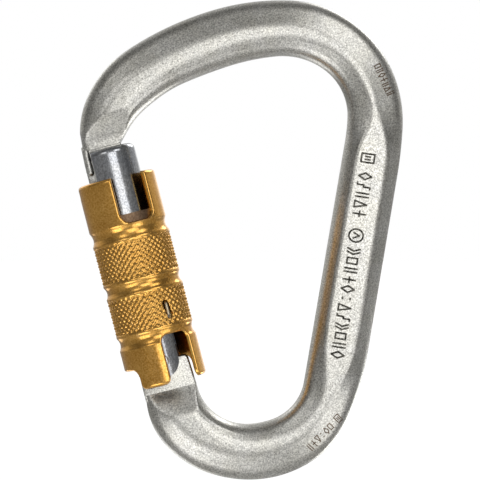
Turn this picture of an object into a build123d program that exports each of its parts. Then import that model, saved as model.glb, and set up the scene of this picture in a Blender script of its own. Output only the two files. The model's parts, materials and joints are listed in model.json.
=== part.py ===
"""Locking carabiner: forged pear-shaped frame, hinged gate and a sprung twist sleeve.

Row frame: the origin is the bearing point of the wide basket, where the rope or anchor
rides. +X runs from the gate side to the spine, +Y from the front to the back and +Z up,
along the direction of load.
"""
import os
from math import cos, radians, sin

from build123d import *

os.makedirs("parts", exist_ok=True)

# Driving dimensions, mm and degrees. Heights on the gate are measured from its pivot.
FRAME_DEPTH = 11.0          # bar thickness, front to back
PAD_INSET = 4.2             # width of the forged slope beside the flat pad
PAD_DROP = 2.6              # depth of that slope

HINGE_X = -28.34            # gate pivot in the row frame
HINGE_Z = -75.97
GATE_TILT = 14.5            # lean of the gate away from +Z, top outwards
GATE_RADIUS = 6.6
GATE_TOP = 54.75
EAR_HALF = 4.2              # half width across the gate's flats, and its end radius
FLATS_TOP = 19.0
CHEEK_EDGE = -4.4           # outer edge of the fork cheeks over the nose
CHEEK_FOOT = 40.0           # where that edge starts
GATE_ROUND = 1.6            # rounding of its top

NOSE_OUT = -6.6             # outer side of the nose, across the gate
NOSE_IN = 3.5               # its inner side
NOSE_SLIM = -4.0            # outer side of the locking tongue inside the sleeve
NOSE_TIP = 42.0
TONGUE_HALF = 1.5           # half thickness of the nose tongue between the cheeks
PLATE_HALF = 2.9            # half thickness of the nose above and beside the cheeks
PLATE_FOOT = 55.25          # underside of the nose plate, over the gate's end
NOSE_FLAT = 57.5            # start of the slope up to the full bar
NOSE_FULL = 63.0
HEAD_HALF = 2.7             # half thickness of the key-shaped nose head
HEAD_LOW = 49.0
HEAD_HIGH = 53.0
HEAD_ROUND = 0.6
STRIP_FOOT = 48.9           # end of the plate's outer strip beside the cheeks
TONGUE_STEP = 45.5          # where the tongue narrows to enter the sleeve

TAIL_HALF = 2.5             # half thickness of the tail tongue
TAIL_SIDE = 6.5             # half width of the tail tongue
TAIL_FLAT = -7.25           # start of the slope down to the full bar
TAIL_FULL = -13.75
CAM_RADIUS = 4.0            # tail radius under the plunger at rest
CAM_CREST = (1.95, 4.15)    # (across, up) of the rise that presses the plunger home
CAM_END = (4.2, 3.1)
SHOULDER_HEIGHT = 0.1       # step of the tail beside the gate's ears
SHOULDER_OUT = 5.8

GAP = 0.3                   # free space between pieces that pass each other
RUN = 0.05                  # radial clearance of a running fit
FAR = 30.0                  # well outside the gate and sleeve

RIVET_RADIUS = 1.75
RIVET_HALF = 6.8
RIVET_ROUND = 0.5
BORE_RADIUS = 2.2           # spring bore in the gate
BORE_TOP = 26.0
FORK_TOP = 6.6              # top of the slot over the tail
PLUNGER_TIP = 4.3
PLUNGER_TOP = 11.5
PLUNGER_ROUND = 1.4
GATE_SPRING_WIRE = 0.35     # wire radius
GATE_SPRING_RADIUS = 1.7
GATE_SPRING_TURNS = 9
SLEEVE_SPRING_WIRE = 0.45
SLEEVE_SPRING_RADIUS = 7.55
SLEEVE_SPRING_TURNS = 6
SPRING_PLAY = 0.05          # between a spring's end turn and its seat
LEG_HEIGHT = 13.9           # where the spring's leg leaves through the sleeve
LEG_DROP = 3.0              # how far it then runs down the anchor slot
LEG_SHARE = 0.95            # leg's radius in the wire's, so that the two join cleanly

SLEEVE_RADIUS = 9.8
SLEEVE_BORE = 8.6
SKIRT_BORE = 8.75
SLEEVE_TOP = 47.0
SKIRT_END = -5.75
RIM_ROUND = 0.9
GROOVE_DEPTH = 0.55
GROOVES = [(8.0, 4.75), (21.0, 18.0), (35.0, 31.5)]     # top and bottom of each
LIP_RADIUS = 7.6            # inner lip that carries the guide bush
LIP_BOTTOM = 7.6
LIP_TOP = 9.0

# Openings of the sleeve: angles are round the gate, 0 at the front and 90 at the inner side
TOP_SLOT_ANGLE = 22.0
TOP_SLOT_WIDTH = 9.0
TOP_SLOT_BOTTOM = 35.25
TOP_SLOT_ROUND = 2.5
SKIRT_SLOT_ANGLE = 32.0
SKIRT_SLOT_WIDTH = 8.0
SKIRT_SLOT_TOP = 6.25
SKIRT_SLOT_ROUND = 1.8
NOTCH_START = 128.0         # cut-back of the skirt round the back and the outer side
NOTCH_ARC = 191.0
NOTCH_HEIGHT = -0.5
NOTCH_ROUND = 2.2
ESCAPE_START = -138.0       # slot that lets the nose out, wider above for its outer strip
ESCAPE_ARC = 50.5
ESCAPE_BOTTOM = 37.3
ESCAPE_WIDE_ARC = 56.2
ESCAPE_WIDE_BOTTOM = 44.2
ANCHOR_ANGLE = 30.0         # slanted slot that holds the sleeve spring's leg
ANCHOR_HEIGHT = 12.25
ANCHOR_LENGTH = 4.6
ANCHOR_WIDTH = 1.6
ANCHOR_LEAN = 8.0

GUIDE_BUSH_HEIGHT = 3.0
RING_BOTTOM = 31.6
RING_HEIGHT = 1.0
RING_INNER = 5.9
RING_OUTER = 7.7
RING_GAP = 3.0
COLLAR_BOTTOM = 32.65
COLLAR_TOP = 37.5
STOP_PIN_HEIGHT = 34.2
STOP_PIN_RADIUS = 0.9
STOP_PIN_START = 4.5        # its ends, from the gate's axis
STOP_PIN_END = 8.1
STOP_WINDOW_START = 107.0   # window of the upper bush that the pin runs in
STOP_WINDOW_ARC = 83.0

HINGE = Vector(HINGE_X, 0, HINGE_Z)
GATE_UP = Vector(-sin(radians(GATE_TILT)), 0, cos(radians(GATE_TILT)))
GATE_IN = Vector(cos(radians(GATE_TILT)), 0, sin(radians(GATE_TILT)))
FRONT = Vector(0, -1, 0)
GATE_AXIS = Axis(HINGE, GATE_UP)
SIDE = Plane(origin=HINGE, x_dir=GATE_IN, z_dir=FRONT)                  # x inwards, y up the gate
EDGE_ON = Plane(origin=HINGE, x_dir=FRONT, z_dir=-GATE_IN)              # x to the front, y up


def across(height):
    """Plane square to the gate's axis at a height above the pivot, its y towards the back."""
    return Plane(origin=HINGE + GATE_UP * height, x_dir=GATE_IN, z_dir=GATE_UP)


def outward(angle):
    """Direction square to the gate's axis: 0 is the front and 90 the inner side."""
    return GATE_IN * sin(radians(angle)) + FRONT * cos(radians(angle))


def facing(angle):
    """Plane through the gate's axis that faces outwards at an angle, its y up the gate."""
    return Plane(origin=HINGE, x_dir=GATE_UP.cross(outward(angle)), z_dir=outward(angle))


def radial(angle):
    """Half plane of a turned profile: x outwards at an angle, y up the gate."""
    return Plane(origin=HINGE, x_dir=outward(angle), z_dir=outward(angle).cross(GATE_UP))


def on_gate(x, height):
    """Link-plane point at an offset across the gate's axis and a height along it."""
    point = HINGE + GATE_IN * x + GATE_UP * height
    return (point.X, point.Z)


def arc_chain(start, heading, points):
    """Arcs from start through the points, each tangent to the one before."""
    for point in points:
        arc = TangentArc(start, point, tangent=heading)
        start = point
        heading = arc % 1


def ring_sketch(inner, outer, low, high):
    """Rectangle of a turned ring in a radial plane."""
    with Locations(((inner + outer) / 2, (low + high) / 2)):
        Rectangle(outer - inner, high - low)


# Outline of the forged bar in the link plane (X, Z)
SPINE_OUT_TOP = (30.4, -29.4)
SPINE_OUT_END = (23.05, -73.4)
SPINE_IN_TOP = (17.2, -21.4)
SPINE_IN_END = (7.8, -76.4)
OUTER_TOP = [(31.65, -18.25), (29.1, -3.8), (14.9, 11.1), (3.55, 13.95), (-15.45, 11.6),
             (-36.95, 1.7), (-47.05, -10.05), (-49.0, -19.35)]
OUTER_END = [(18.0, -90.4), (7.9, -101.8), (-4.95, -105.7), (-17.1, -104.0),
             (-27.05, -97.7), (-32.35, -86.55)]
INNER_TOP = [(17.85, -15.45), (12.05, -3.3), (0.0, 0.0), (-11.8, -2.45), (-22.85, -6.6),
             (-28.95, -10.1), (-33.1, -13.5), (-36.9, -18.25)]
INNER_END = [(6.95, -81.3), (-0.85, -90.6), (-6.65, -91.8), (-15.1, -89.25), (-19.65, -82.3)]
UP_OUT = Vector(*SPINE_OUT_TOP) - Vector(*SPINE_OUT_END)
UP_IN = Vector(*SPINE_IN_TOP) - Vector(*SPINE_IN_END)

# ---------------------------------------------------------------- frame
with BuildPart() as frame:
    with BuildSketch(Plane.XZ):
        with BuildLine():
            Line(SPINE_OUT_END, SPINE_OUT_TOP)
            arc_chain(SPINE_OUT_TOP, UP_OUT, OUTER_TOP)
            Line(OUTER_TOP[-1], INNER_TOP[-1])
            arc_chain(SPINE_IN_TOP, UP_IN, INNER_TOP)
            Line(SPINE_IN_TOP, SPINE_IN_END)
            arc_chain(SPINE_IN_END, -UP_IN, INNER_END)
            Line(INNER_END[-1], OUTER_END[-1])
            arc_chain(SPINE_OUT_END, -UP_OUT, OUTER_END)
        make_face()
    extrude(amount=FRAME_DEPTH / 2, both=True)
    # forged slopes from the middle pad out to the rims, on both faces
    for face in (frame.faces().sort_by(Axis.Y)[0], frame.faces().sort_by(Axis.Y)[-1]):
        rims = face.edges().filter_by(lambda e: e.length > 15 or e.geom_type != GeomType.LINE)
        chamfer(rims, length=PAD_INSET, length2=PAD_DROP, reference=face)
    # forged slopes down to the thin nose plate and the tail tongue
    with BuildSketch(EDGE_ON):
        for side in (1, -1):
            with BuildLine():
                Polyline((side * PLATE_HALF, NOSE_FLAT), (side * FAR, NOSE_FLAT),
                         (side * FAR, NOSE_FULL), (side * FRAME_DEPTH / 2, NOSE_FULL), close=True)
            make_face()
            with BuildLine():
                Polyline((side * TAIL_HALF, TAIL_FLAT), (side * FAR, TAIL_FLAT),
                         (side * FAR, TAIL_FULL), (side * FRAME_DEPTH / 2, TAIL_FULL), close=True)
            make_face()
    extrude(amount=FAR / 2, both=True, mode=Mode.SUBTRACT)
    # nose plate, with its outer strip beside the gate's cheeks
    with BuildSketch(Plane.XZ):
        with BuildLine():
            Polyline(OUTER_TOP[-1], on_gate(NOSE_OUT, STRIP_FOOT + 1.1),
                     on_gate(NOSE_OUT + 0.3, STRIP_FOOT), on_gate(CHEEK_EDGE - GAP, STRIP_FOOT),
                     on_gate(CHEEK_EDGE - GAP, PLATE_FOOT),
                     on_gate(NOSE_IN, PLATE_FOOT), INNER_TOP[-1], close=True)
        make_face()
    extrude(amount=PLATE_HALF, both=True)
    # thin locking tongue that runs down between the cheeks into the sleeve
    with BuildSketch(Plane.XZ):
        with BuildLine():
            Polyline(on_gate(NOSE_OUT, TONGUE_STEP + 1.0), on_gate(NOSE_OUT + 0.8, TONGUE_STEP),
                     on_gate(NOSE_SLIM, TONGUE_STEP), on_gate(NOSE_SLIM, NOSE_TIP),
                     on_gate(NOSE_IN, NOSE_TIP), on_gate(NOSE_IN, NOSE_FLAT - 0.5),
                     on_gate(NOSE_OUT, NOSE_FLAT - 0.5), close=True)
        make_face()
    extrude(amount=TONGUE_HALF, both=True)
    # key-shaped head that the gate's lips hold under load
    with BuildSketch(SIDE):
        with Locations(((NOSE_SLIM + NOSE_IN) / 2 - 0.1, (HEAD_LOW + HEAD_HIGH) / 2)):
            RectangleRounded(NOSE_IN - NOSE_SLIM, HEAD_HIGH - HEAD_LOW, HEAD_ROUND)
    extrude(amount=HEAD_HALF, both=True)
    # tail tongue with the plunger's cam and the rivet hole
    with BuildSketch(Plane.XZ):
        with BuildLine():
            diagonal = CAM_RADIUS * sin(radians(45))
            ThreePointArc(on_gate(-CAM_RADIUS, 0), on_gate(-diagonal, diagonal),
                          on_gate(0, CAM_RADIUS))
            Spline(on_gate(0, CAM_RADIUS), on_gate(*CAM_CREST), on_gate(*CAM_END))
            Polyline(on_gate(*CAM_END), on_gate(CAM_END[0], SHOULDER_HEIGHT),
                     on_gate(SHOULDER_OUT, SHOULDER_HEIGHT), on_gate(TAIL_SIDE - 0.15, -0.6),
                     INNER_END[-1], on_gate(TAIL_SIDE, TAIL_FULL + 1.75),
                     on_gate(-TAIL_SIDE + 0.2, TAIL_FULL + 1.75), OUTER_END[-1],
                     on_gate(-TAIL_SIDE, -3.5), on_gate(-CAM_RADIUS, 0))
        make_face()
    extrude(amount=TAIL_HALF, both=True)
    with BuildSketch(SIDE):
        Circle(RIVET_RADIUS + RUN)
    extrude(amount=FAR, both=True, mode=Mode.SUBTRACT)
frame.part.label = "frame"

# ---------------------------------------------------------------- gate
with BuildPart() as gate:
    with BuildSketch(across(-EAR_HALF)):
        Circle(GATE_RADIUS)
    extrude(amount=GATE_TOP + EAR_HALF)
    fillet(gate.edges().group_by(GATE_AXIS)[-1], radius=GATE_ROUND)
    # flats of the lower end, rounded around the pivot
    with BuildSketch(SIDE):
        with BuildLine():
            Polyline((EAR_HALF, 0), (EAR_HALF, FLATS_TOP), (FAR, FLATS_TOP), (FAR, -FAR),
                     (-FAR, -FAR), (-FAR, FLATS_TOP), (-EAR_HALF, FLATS_TOP), (-EAR_HALF, 0))
            ThreePointArc((-EAR_HALF, 0), (0, -EAR_HALF), (EAR_HALF, 0))
        make_face()
    extrude(amount=FAR, both=True, mode=Mode.SUBTRACT)
    # cheek edges beside the nose
    with BuildSketch(SIDE):
        with Locations((CHEEK_EDGE - FAR / 2, CHEEK_FOOT + FAR / 2)):
            Rectangle(FAR, FAR)
    extrude(amount=FAR, both=True, mode=Mode.SUBTRACT)
    # slot for the nose tongue, and the wider pocket for its head
    with BuildSketch(SIDE):
        with Locations(((NOSE_IN + 0.4 - FAR) / 2, (NOSE_TIP - 0.7 + FAR * 2) / 2)):
            Rectangle(FAR + NOSE_IN + 0.4, FAR * 2 - NOSE_TIP + 0.7)
    extrude(amount=TONGUE_HALF + GAP, both=True, mode=Mode.SUBTRACT)
    with BuildSketch(SIDE):
        with Locations(((NOSE_IN + 0.2 - FAR) / 2, (HEAD_LOW + HEAD_HIGH) / 2)):
            Rectangle(FAR + NOSE_IN + 0.2, HEAD_HIGH - HEAD_LOW + 0.8)
    extrude(amount=HEAD_HALF + GAP, both=True, mode=Mode.SUBTRACT)
    # slot for the tail tongue, spring bore, ring groove, stop-pin hole and rivet hole
    with BuildSketch(SIDE):
        with Locations((0, (FORK_TOP - FAR) / 2)):
            Rectangle(FAR, FAR + FORK_TOP)
    extrude(amount=TAIL_HALF + 0.2, both=True, mode=Mode.SUBTRACT)
    with BuildSketch(across(0)):
        Circle(BORE_RADIUS)
    extrude(amount=BORE_TOP, mode=Mode.SUBTRACT)
    with BuildSketch(radial(0)):
        ring_sketch(RING_INNER, FAR, RING_BOTTOM, RING_BOTTOM + RING_HEIGHT)
    revolve(axis=GATE_AXIS, mode=Mode.SUBTRACT)
    with BuildSketch(facing(180)):
        with Locations((0, STOP_PIN_HEIGHT)):
            Circle(STOP_PIN_RADIUS)
    extrude(amount=FAR, mode=Mode.SUBTRACT)
    with BuildSketch(SIDE):
        Circle(RIVET_RADIUS)
    extrude(amount=FAR, both=True, mode=Mode.SUBTRACT)
gate.part.label = "gate"

with BuildPart() as hinge_rivet:
    with BuildSketch(SIDE):
        Circle(RIVET_RADIUS)
    extrude(amount=RIVET_HALF, both=True)
    fillet(hinge_rivet.edges().filter_by(GeomType.CIRCLE), radius=RIVET_ROUND)
hinge_rivet.part.label = "hinge_rivet"

# ---------------------------------------------------------------- gate spring and plunger
with BuildPart() as gate_plunger:
    with BuildSketch(across(PLUNGER_TIP)):
        Circle(BORE_RADIUS - RUN)
    extrude(amount=PLUNGER_TOP - PLUNGER_TIP)
    fillet(gate_plunger.edges().group_by(GATE_AXIS)[0], radius=PLUNGER_ROUND)
gate_plunger.part.label = "gate_plunger"


def coil(name, place, radius, wire, length, turns, leg_points=()):
    """Helical wire up a plane's normal, starting on its x axis, with an optional bent leg."""
    with BuildPart() as spring:
        helix = Helix(pitch=length / turns, height=length, radius=radius)
        with BuildSketch(Plane(origin=helix @ 0, z_dir=helix % 0)):
            Circle(wire)
        sweep(path=helix, is_frenet=True)
        if leg_points:
            with BuildLine() as leg:
                FilletPolyline(*leg_points, radius=1.3 * wire)
            with BuildSketch(Plane(origin=leg.line @ 0, z_dir=leg.line % 0)):
                Circle(LEG_SHARE * wire)
            sweep(path=leg.line)
    placed = place * spring.part
    placed.label = name
    return placed


gate_spring = coil("gate_spring", across(PLUNGER_TOP + GATE_SPRING_WIRE + SPRING_PLAY),
                   GATE_SPRING_RADIUS, GATE_SPRING_WIRE,
                   BORE_TOP - PLUNGER_TOP - 2 * (GATE_SPRING_WIRE + SPRING_PLAY),
                   GATE_SPRING_TURNS)

# ---------------------------------------------------------------- sleeve
with BuildPart() as sleeve:
    with BuildSketch(radial(0)):
        with BuildLine():
            Polyline((SLEEVE_RADIUS - RIM_ROUND, SKIRT_END), (SKIRT_BORE, SKIRT_END),
                     (SKIRT_BORE, LIP_BOTTOM), (LIP_RADIUS, LIP_BOTTOM), (LIP_RADIUS, LIP_TOP),
                     (SLEEVE_BORE, LIP_TOP), (SLEEVE_BORE, SLEEVE_TOP),
                     (SLEEVE_RADIUS - RIM_ROUND, SLEEVE_TOP))
            RadiusArc((SLEEVE_RADIUS - RIM_ROUND, SLEEVE_TOP),
                      (SLEEVE_RADIUS, SLEEVE_TOP - RIM_ROUND), RIM_ROUND)
            below = SLEEVE_TOP - RIM_ROUND
            for high, low in reversed(GROOVES):
                Line((SLEEVE_RADIUS, below), (SLEEVE_RADIUS, high))
                ThreePointArc((SLEEVE_RADIUS, high),
                              (SLEEVE_RADIUS - GROOVE_DEPTH, (high + low) / 2),
                              (SLEEVE_RADIUS, low))
                below = low
            Line((SLEEVE_RADIUS, below), (SLEEVE_RADIUS, SKIRT_END + RIM_ROUND))
            RadiusArc((SLEEVE_RADIUS, SKIRT_END + RIM_ROUND),
                      (SLEEVE_RADIUS - RIM_ROUND, SKIRT_END), RIM_ROUND)
        make_face()
    revolve(axis=GATE_AXIS)
    # front slot over the gate
    with BuildSketch(facing(TOP_SLOT_ANGLE)):
        with Locations((0, TOP_SLOT_BOTTOM + FAR / 2)):
            RectangleRounded(TOP_SLOT_WIDTH, FAR, TOP_SLOT_ROUND)
    extrude(amount=FAR, mode=Mode.SUBTRACT)
    # skirt slot over the gate's ear, which clears the tail when the sleeve is turned
    with BuildSketch(facing(SKIRT_SLOT_ANGLE)):
        with Locations((0, SKIRT_SLOT_TOP - FAR / 2)):
            RectangleRounded(SKIRT_SLOT_WIDTH, FAR, SKIRT_SLOT_ROUND)
    extrude(amount=FAR, mode=Mode.SUBTRACT)
    # cut-back skirt, with round inner corners
    with BuildSketch(radial(NOTCH_START)):
        ring_sketch(SKIRT_BORE - 1, FAR / 2, -FAR / 2, NOTCH_HEIGHT)
    revolve(axis=GATE_AXIS, revolution_arc=NOTCH_ARC, mode=Mode.SUBTRACT)
    notch_level = HINGE.dot(GATE_UP) + NOTCH_HEIGHT
    corners = sleeve.edges().filter_by(
        lambda e: e.length < 1.5 and abs(e.center().dot(GATE_UP) - notch_level) < 0.01)
    fillet(corners, radius=NOTCH_ROUND)
    # escape slot for the nose
    for arc, bottom in ((ESCAPE_ARC, ESCAPE_BOTTOM), (ESCAPE_WIDE_ARC, ESCAPE_WIDE_BOTTOM)):
        with BuildSketch(radial(ESCAPE_START)):
            ring_sketch(SLEEVE_BORE - 1, FAR / 2, bottom, FAR * 2)
        revolve(axis=GATE_AXIS, revolution_arc=arc, mode=Mode.SUBTRACT)
    # anchor slot of the spring's leg
    with BuildSketch(facing(ANCHOR_ANGLE)):
        with Locations(Location((0.1, ANCHOR_HEIGHT), ANCHOR_LEAN)):
            SlotOverall(ANCHOR_LENGTH, ANCHOR_WIDTH, rotation=90)
    extrude(amount=FAR, mode=Mode.SUBTRACT)
sleeve.part.label = "sleeve"

# ---------------------------------------------------------------- rings and bushes
with BuildPart() as upper_bush:
    with BuildSketch(radial(0)):
        ring_sketch(GATE_RADIUS + RUN, SLEEVE_BORE, COLLAR_BOTTOM, COLLAR_TOP)
    revolve(axis=GATE_AXIS)
    # arc window that the stop pin runs in
    with BuildSketch(radial(STOP_WINDOW_START)):
        ring_sketch(GATE_RADIUS - 1, FAR / 2, 0, STOP_PIN_HEIGHT + STOP_PIN_RADIUS + GAP)
    revolve(axis=GATE_AXIS, revolution_arc=STOP_WINDOW_ARC, mode=Mode.SUBTRACT)
upper_bush.part.label = "upper_bush"

with BuildPart() as guide_bush:
    with BuildSketch(across(LIP_TOP)):
        Circle(SLEEVE_BORE - RUN)
        with BuildSketch(mode=Mode.SUBTRACT):
            Circle(GATE_RADIUS + RUN)
            Rectangle(2 * (EAR_HALF + RUN), FAR, mode=Mode.INTERSECT)
    extrude(amount=GUIDE_BUSH_HEIGHT)
guide_bush.part.label = "guide_bush"

with BuildPart() as retaining_ring:
    with BuildSketch(across(RING_BOTTOM)):
        Circle(RING_OUTER)
        Circle(RING_INNER, mode=Mode.SUBTRACT)
        with Locations((0, RING_OUTER)):
            Rectangle(RING_GAP, 2 * RING_OUTER - 2, mode=Mode.SUBTRACT)
    extrude(amount=RING_HEIGHT)
retaining_ring.part.label = "retaining_ring"

with BuildPart() as stop_pin:
    with BuildSketch(facing(180).offset(STOP_PIN_START)):
        with Locations((0, STOP_PIN_HEIGHT)):
            Circle(STOP_PIN_RADIUS)
    extrude(amount=STOP_PIN_END - STOP_PIN_START)
stop_pin.part.label = "stop_pin"

# ---------------------------------------------------------------- sleeve spring
# its leg bends out through the sleeve's wall and lies in the anchor slot
leg_plane = Plane(origin=HINGE + GATE_UP * LEG_HEIGHT, x_dir=outward(ANCHOR_ANGLE), z_dir=GATE_UP)
leg_reach = SLEEVE_RADIUS - 0.6
sleeve_spring = coil("sleeve_spring", leg_plane, SLEEVE_SPRING_RADIUS, SLEEVE_SPRING_WIRE,
                     RING_BOTTOM - LEG_HEIGHT - SLEEVE_SPRING_WIRE - SPRING_PLAY,
                     SLEEVE_SPRING_TURNS,
                     [(SLEEVE_SPRING_RADIUS, 0, 0), (leg_reach, 0, 0),
                      (leg_reach, 0.4, -LEG_DROP)])

for piece in (frame.part, gate.part, hinge_rivet.part, gate_plunger.part, gate_spring,
              sleeve.part, upper_bush.part, guide_bush.part, retaining_ring.part,
              stop_pin.part, sleeve_spring):
    export_step(piece, f"parts/{piece.label}.step")
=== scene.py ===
"""Locking carabiner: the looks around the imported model.

The forged frame, the knurled sleeve and the two springs are remade as detailed meshes that
stand in for their plain solids; the gate, plunger, bushes, ring and pins keep their own shapes.
Lengths are in millimetres in the row frame, and turn into metres where a mesh is made.
"""
import json
from math import atan2, cos, hypot, pi, radians, sin

import bmesh
import bpy
import numpy as np
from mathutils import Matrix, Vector
from mathutils.bvhtree import BVHTree


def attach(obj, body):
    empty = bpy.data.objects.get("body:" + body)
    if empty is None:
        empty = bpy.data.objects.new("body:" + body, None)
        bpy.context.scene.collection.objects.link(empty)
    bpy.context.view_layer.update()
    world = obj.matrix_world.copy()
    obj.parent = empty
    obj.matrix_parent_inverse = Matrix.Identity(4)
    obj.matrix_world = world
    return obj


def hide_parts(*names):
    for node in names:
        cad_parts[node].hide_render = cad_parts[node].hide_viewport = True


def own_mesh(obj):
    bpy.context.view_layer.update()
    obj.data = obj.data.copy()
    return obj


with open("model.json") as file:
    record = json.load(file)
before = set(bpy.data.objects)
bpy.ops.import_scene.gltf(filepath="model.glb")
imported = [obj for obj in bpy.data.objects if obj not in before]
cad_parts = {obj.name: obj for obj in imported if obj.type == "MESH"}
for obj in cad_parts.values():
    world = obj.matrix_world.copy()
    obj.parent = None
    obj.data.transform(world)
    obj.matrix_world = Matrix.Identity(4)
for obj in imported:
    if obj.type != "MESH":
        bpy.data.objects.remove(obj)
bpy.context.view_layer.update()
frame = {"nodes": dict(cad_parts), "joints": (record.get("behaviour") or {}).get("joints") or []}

MM = 0.001

# ---------------------------------------------------------------- the gate's own frame
joints = {joint["name"]: joint for joint in frame["joints"]}
HINGE = np.array(joints["gate_swing"]["pos_m"]) / MM
GATE_UP = np.array(joints["sleeve_twist"]["axis"])
GATE_IN = np.array((GATE_UP[2], 0, -GATE_UP[0]))
FRONT = np.array((0, -1, 0))


def on_gate(x, height):
    """Link-plane point (X, Z) at an offset across the gate's axis and a height along it."""
    point = HINGE + GATE_IN * x + GATE_UP * height
    return np.array((point[0], point[2]))


def gate_height(point):
    """Height along the gate's axis of a link-plane point."""
    return (point[0] - HINGE[0]) * GATE_UP[0] + (point[1] - HINGE[2]) * GATE_UP[2]


# ---------------------------------------------------------------- materials
def nodes_of(material):
    """Empty node tree of a new material with a Principled shader; returns tools to build it."""
    material.use_nodes = True
    tree = material.node_tree
    tree.nodes.clear()
    output = tree.nodes.new("ShaderNodeOutputMaterial")
    shader = tree.nodes.new("ShaderNodeBsdfPrincipled")
    tree.links.new(shader.outputs["BSDF"], output.inputs["Surface"])

    def add(kind, inputs=None, **settings):
        node = tree.nodes.new("ShaderNode" + kind)
        for key, value in settings.items():
            setattr(node, key, value)
        for key, value in (inputs or {}).items():
            socket = node.inputs[key]
            if isinstance(value, bpy.types.NodeSocket):
                tree.links.new(value, socket)
            else:
                socket.default_value = value
        return node

    return tree, shader, add


def ramp(add, factor, stops):
    """Colour ramp through (position, grey or colour) stops."""
    node = add("ValToRGB", {"Fac": factor})
    elements = node.color_ramp.elements
    while len(elements) < len(stops):
        elements.new(0.5)
    for element, (position, colour) in zip(elements, stops):
        element.position = position
        colour = (colour,) * 3 if isinstance(colour, (int, float)) else colour
        element.color = (*colour, 1)
    return node.outputs["Color"]


PIT_SPACING = 1.9
RELIEF = 0.05               # height of the grain
BARE_GOLD = (1.0, 0.85, 0.55, 1)
WORN_EDGE = (0.52, 0.62)    # pointiness from which an edge is worn, and fully worn
# painted shade: brown laid into the surface's hollows, by its pointiness
HOLLOW_SHADE_BROWN = (0.09, 0.040, 0.008, 1)
HOLLOW_SHADE_POINTINESS = (0.42, 0.495)                            # pointiness of full painted shade in the hollows and of none
# painted shade: dark grey laid on the gate's flats that face front and back
FLATS_SHADE_GREY = (0.085, 0.092, 0.105, 1)
FLATS_SHADE_FADE = 0.3           # height over which the painted shade on the milled faces fades out
FLATS_SHADE_FACING = (0.97, 0.99)                            # how squarely they face front or back


def mixed(add, share, colour, over):
    """Colour with another over it by a share."""
    return add("MixRGB", {"Fac": share, "Color1": colour, "Color2": over}).outputs["Color"]


def multiplied(add, colour, shade):
    """Colour darkened or tinted by another."""
    return add("MixRGB", {"Fac": 1.0, "Color1": colour, "Color2": shade},
               blend_type="MULTIPLY").outputs["Color"]


def by_pointiness(add, limits, low, high):
    """Share that goes from low to high between two values of the surface's pointiness."""
    pointiness = add("NewGeometry").outputs["Pointiness"]
    return add("MapRange", {"Value": pointiness, "From Min": limits[0], "From Max": limits[1],
                            "To Min": low, "To Max": high}).outputs["Result"]


def flats_shade_share(add, place, top):
    """Share of painted shade on the faces to the front and back below a height on the gate."""
    height = add("VectorMath", {0: place, 1: GATE_UP}, operation="DOT_PRODUCT")
    low = add("MapRange", {"Value": height.outputs["Value"],
                           "From Min": (HINGE @ GATE_UP + top - FLATS_SHADE_FADE) * MM,
                           "From Max": (HINGE @ GATE_UP + top) * MM,
                           "To Min": 1.0, "To Max": 0.0}).outputs["Result"]
    facing = add("SeparateXYZ", {"Vector": add("NewGeometry").outputs["Normal"]})
    depth = add("Math", {0: facing.outputs["Y"]}, operation="ABSOLUTE").outputs["Value"]
    level = add("MapRange", {"Value": depth, "From Min": FLATS_SHADE_FACING[0],
                             "From Max": FLATS_SHADE_FACING[1]}).outputs["Result"]
    return add("Math", {0: low, 1: level}, operation="MULTIPLY").outputs["Value"]


def metal(name, dark, light, grain, rough, bump, blotch=6.0, tint=(1, 1, 1), stretch=1.0,
          worn=0.0, pits=0.0, hollow_shade=0.0, flats_shade_top=None):
    """Metal with a fine grain, slow patches of tone and roughness, pits and worn edges.

    grain and blotch are sizes in mm; rough is its lowest and highest value; stretch draws the
    grain out along the gate's axis, as turning and polishing leave it. hollow_shade is painted
    shade that darkens the hollows, and flats_shade_top is the height on the gate up to which
    its front and back are darkened as painted shade.
    """
    material = bpy.data.materials.new(name)
    tree, shader, add = nodes_of(material)
    place = add("TexCoord").outputs["Object"]
    lean = add("Mapping", {"Vector": place, "Rotation": (0, atan2(-GATE_UP[0], GATE_UP[2]), 0),
                           "Scale": (1, 1, 1 / stretch)}).outputs["Vector"]
    speckle = add("TexNoise", {"Vector": lean, "Scale": 1 / (grain * MM), "Detail": 3,
                               "Roughness": 0.65}).outputs["Fac"]
    patches = add("TexNoise", {"Vector": place, "Scale": 1 / (blotch * MM), "Detail": 3,
                               "Roughness": 0.55}).outputs["Fac"]
    tone = ramp(add, speckle, [(0.34, dark), (0.66, light)])
    cast = ramp(add, patches, [(0.3, tint), (0.7, (1, 1, 1))])
    colour = multiplied(add, tone, cast)
    if pits:
        cells = add("TexVoronoi", {"Vector": place, "Scale": 1 / (PIT_SPACING * MM)})
        spots = ramp(add, cells.outputs["Distance"], [(0.05, 1 - pits), (0.11, 1.0)])
        colour = multiplied(add, colour, spots)
    if worn:
        colour = mixed(add, by_pointiness(add, WORN_EDGE, 0.0, worn), colour, BARE_GOLD)
    # painted shade darkens the hollows, the knurl's grooves among them
    if hollow_shade:
        colour = mixed(add, by_pointiness(add, HOLLOW_SHADE_POINTINESS, hollow_shade, 0.0), colour, HOLLOW_SHADE_BROWN)
    # painted shade on the gate's flats to the front and back
    if flats_shade_top:
        colour = mixed(add, flats_shade_share(add, place, flats_shade_top), colour, FLATS_SHADE_GREY)
    spread = add("MapRange", {"Value": patches, "From Min": 0.3, "From Max": 0.7,
                              "To Min": rough[0], "To Max": rough[1]}).outputs["Result"]
    relief = add("Bump", {"Height": speckle, "Strength": bump, "Distance": RELIEF * MM})
    tree.links.new(colour, shader.inputs["Base Color"])
    tree.links.new(spread, shader.inputs["Roughness"])
    tree.links.new(relief.outputs["Normal"], shader.inputs["Normal"])
    shader.inputs["Metallic"].default_value = 1.0
    return material


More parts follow.
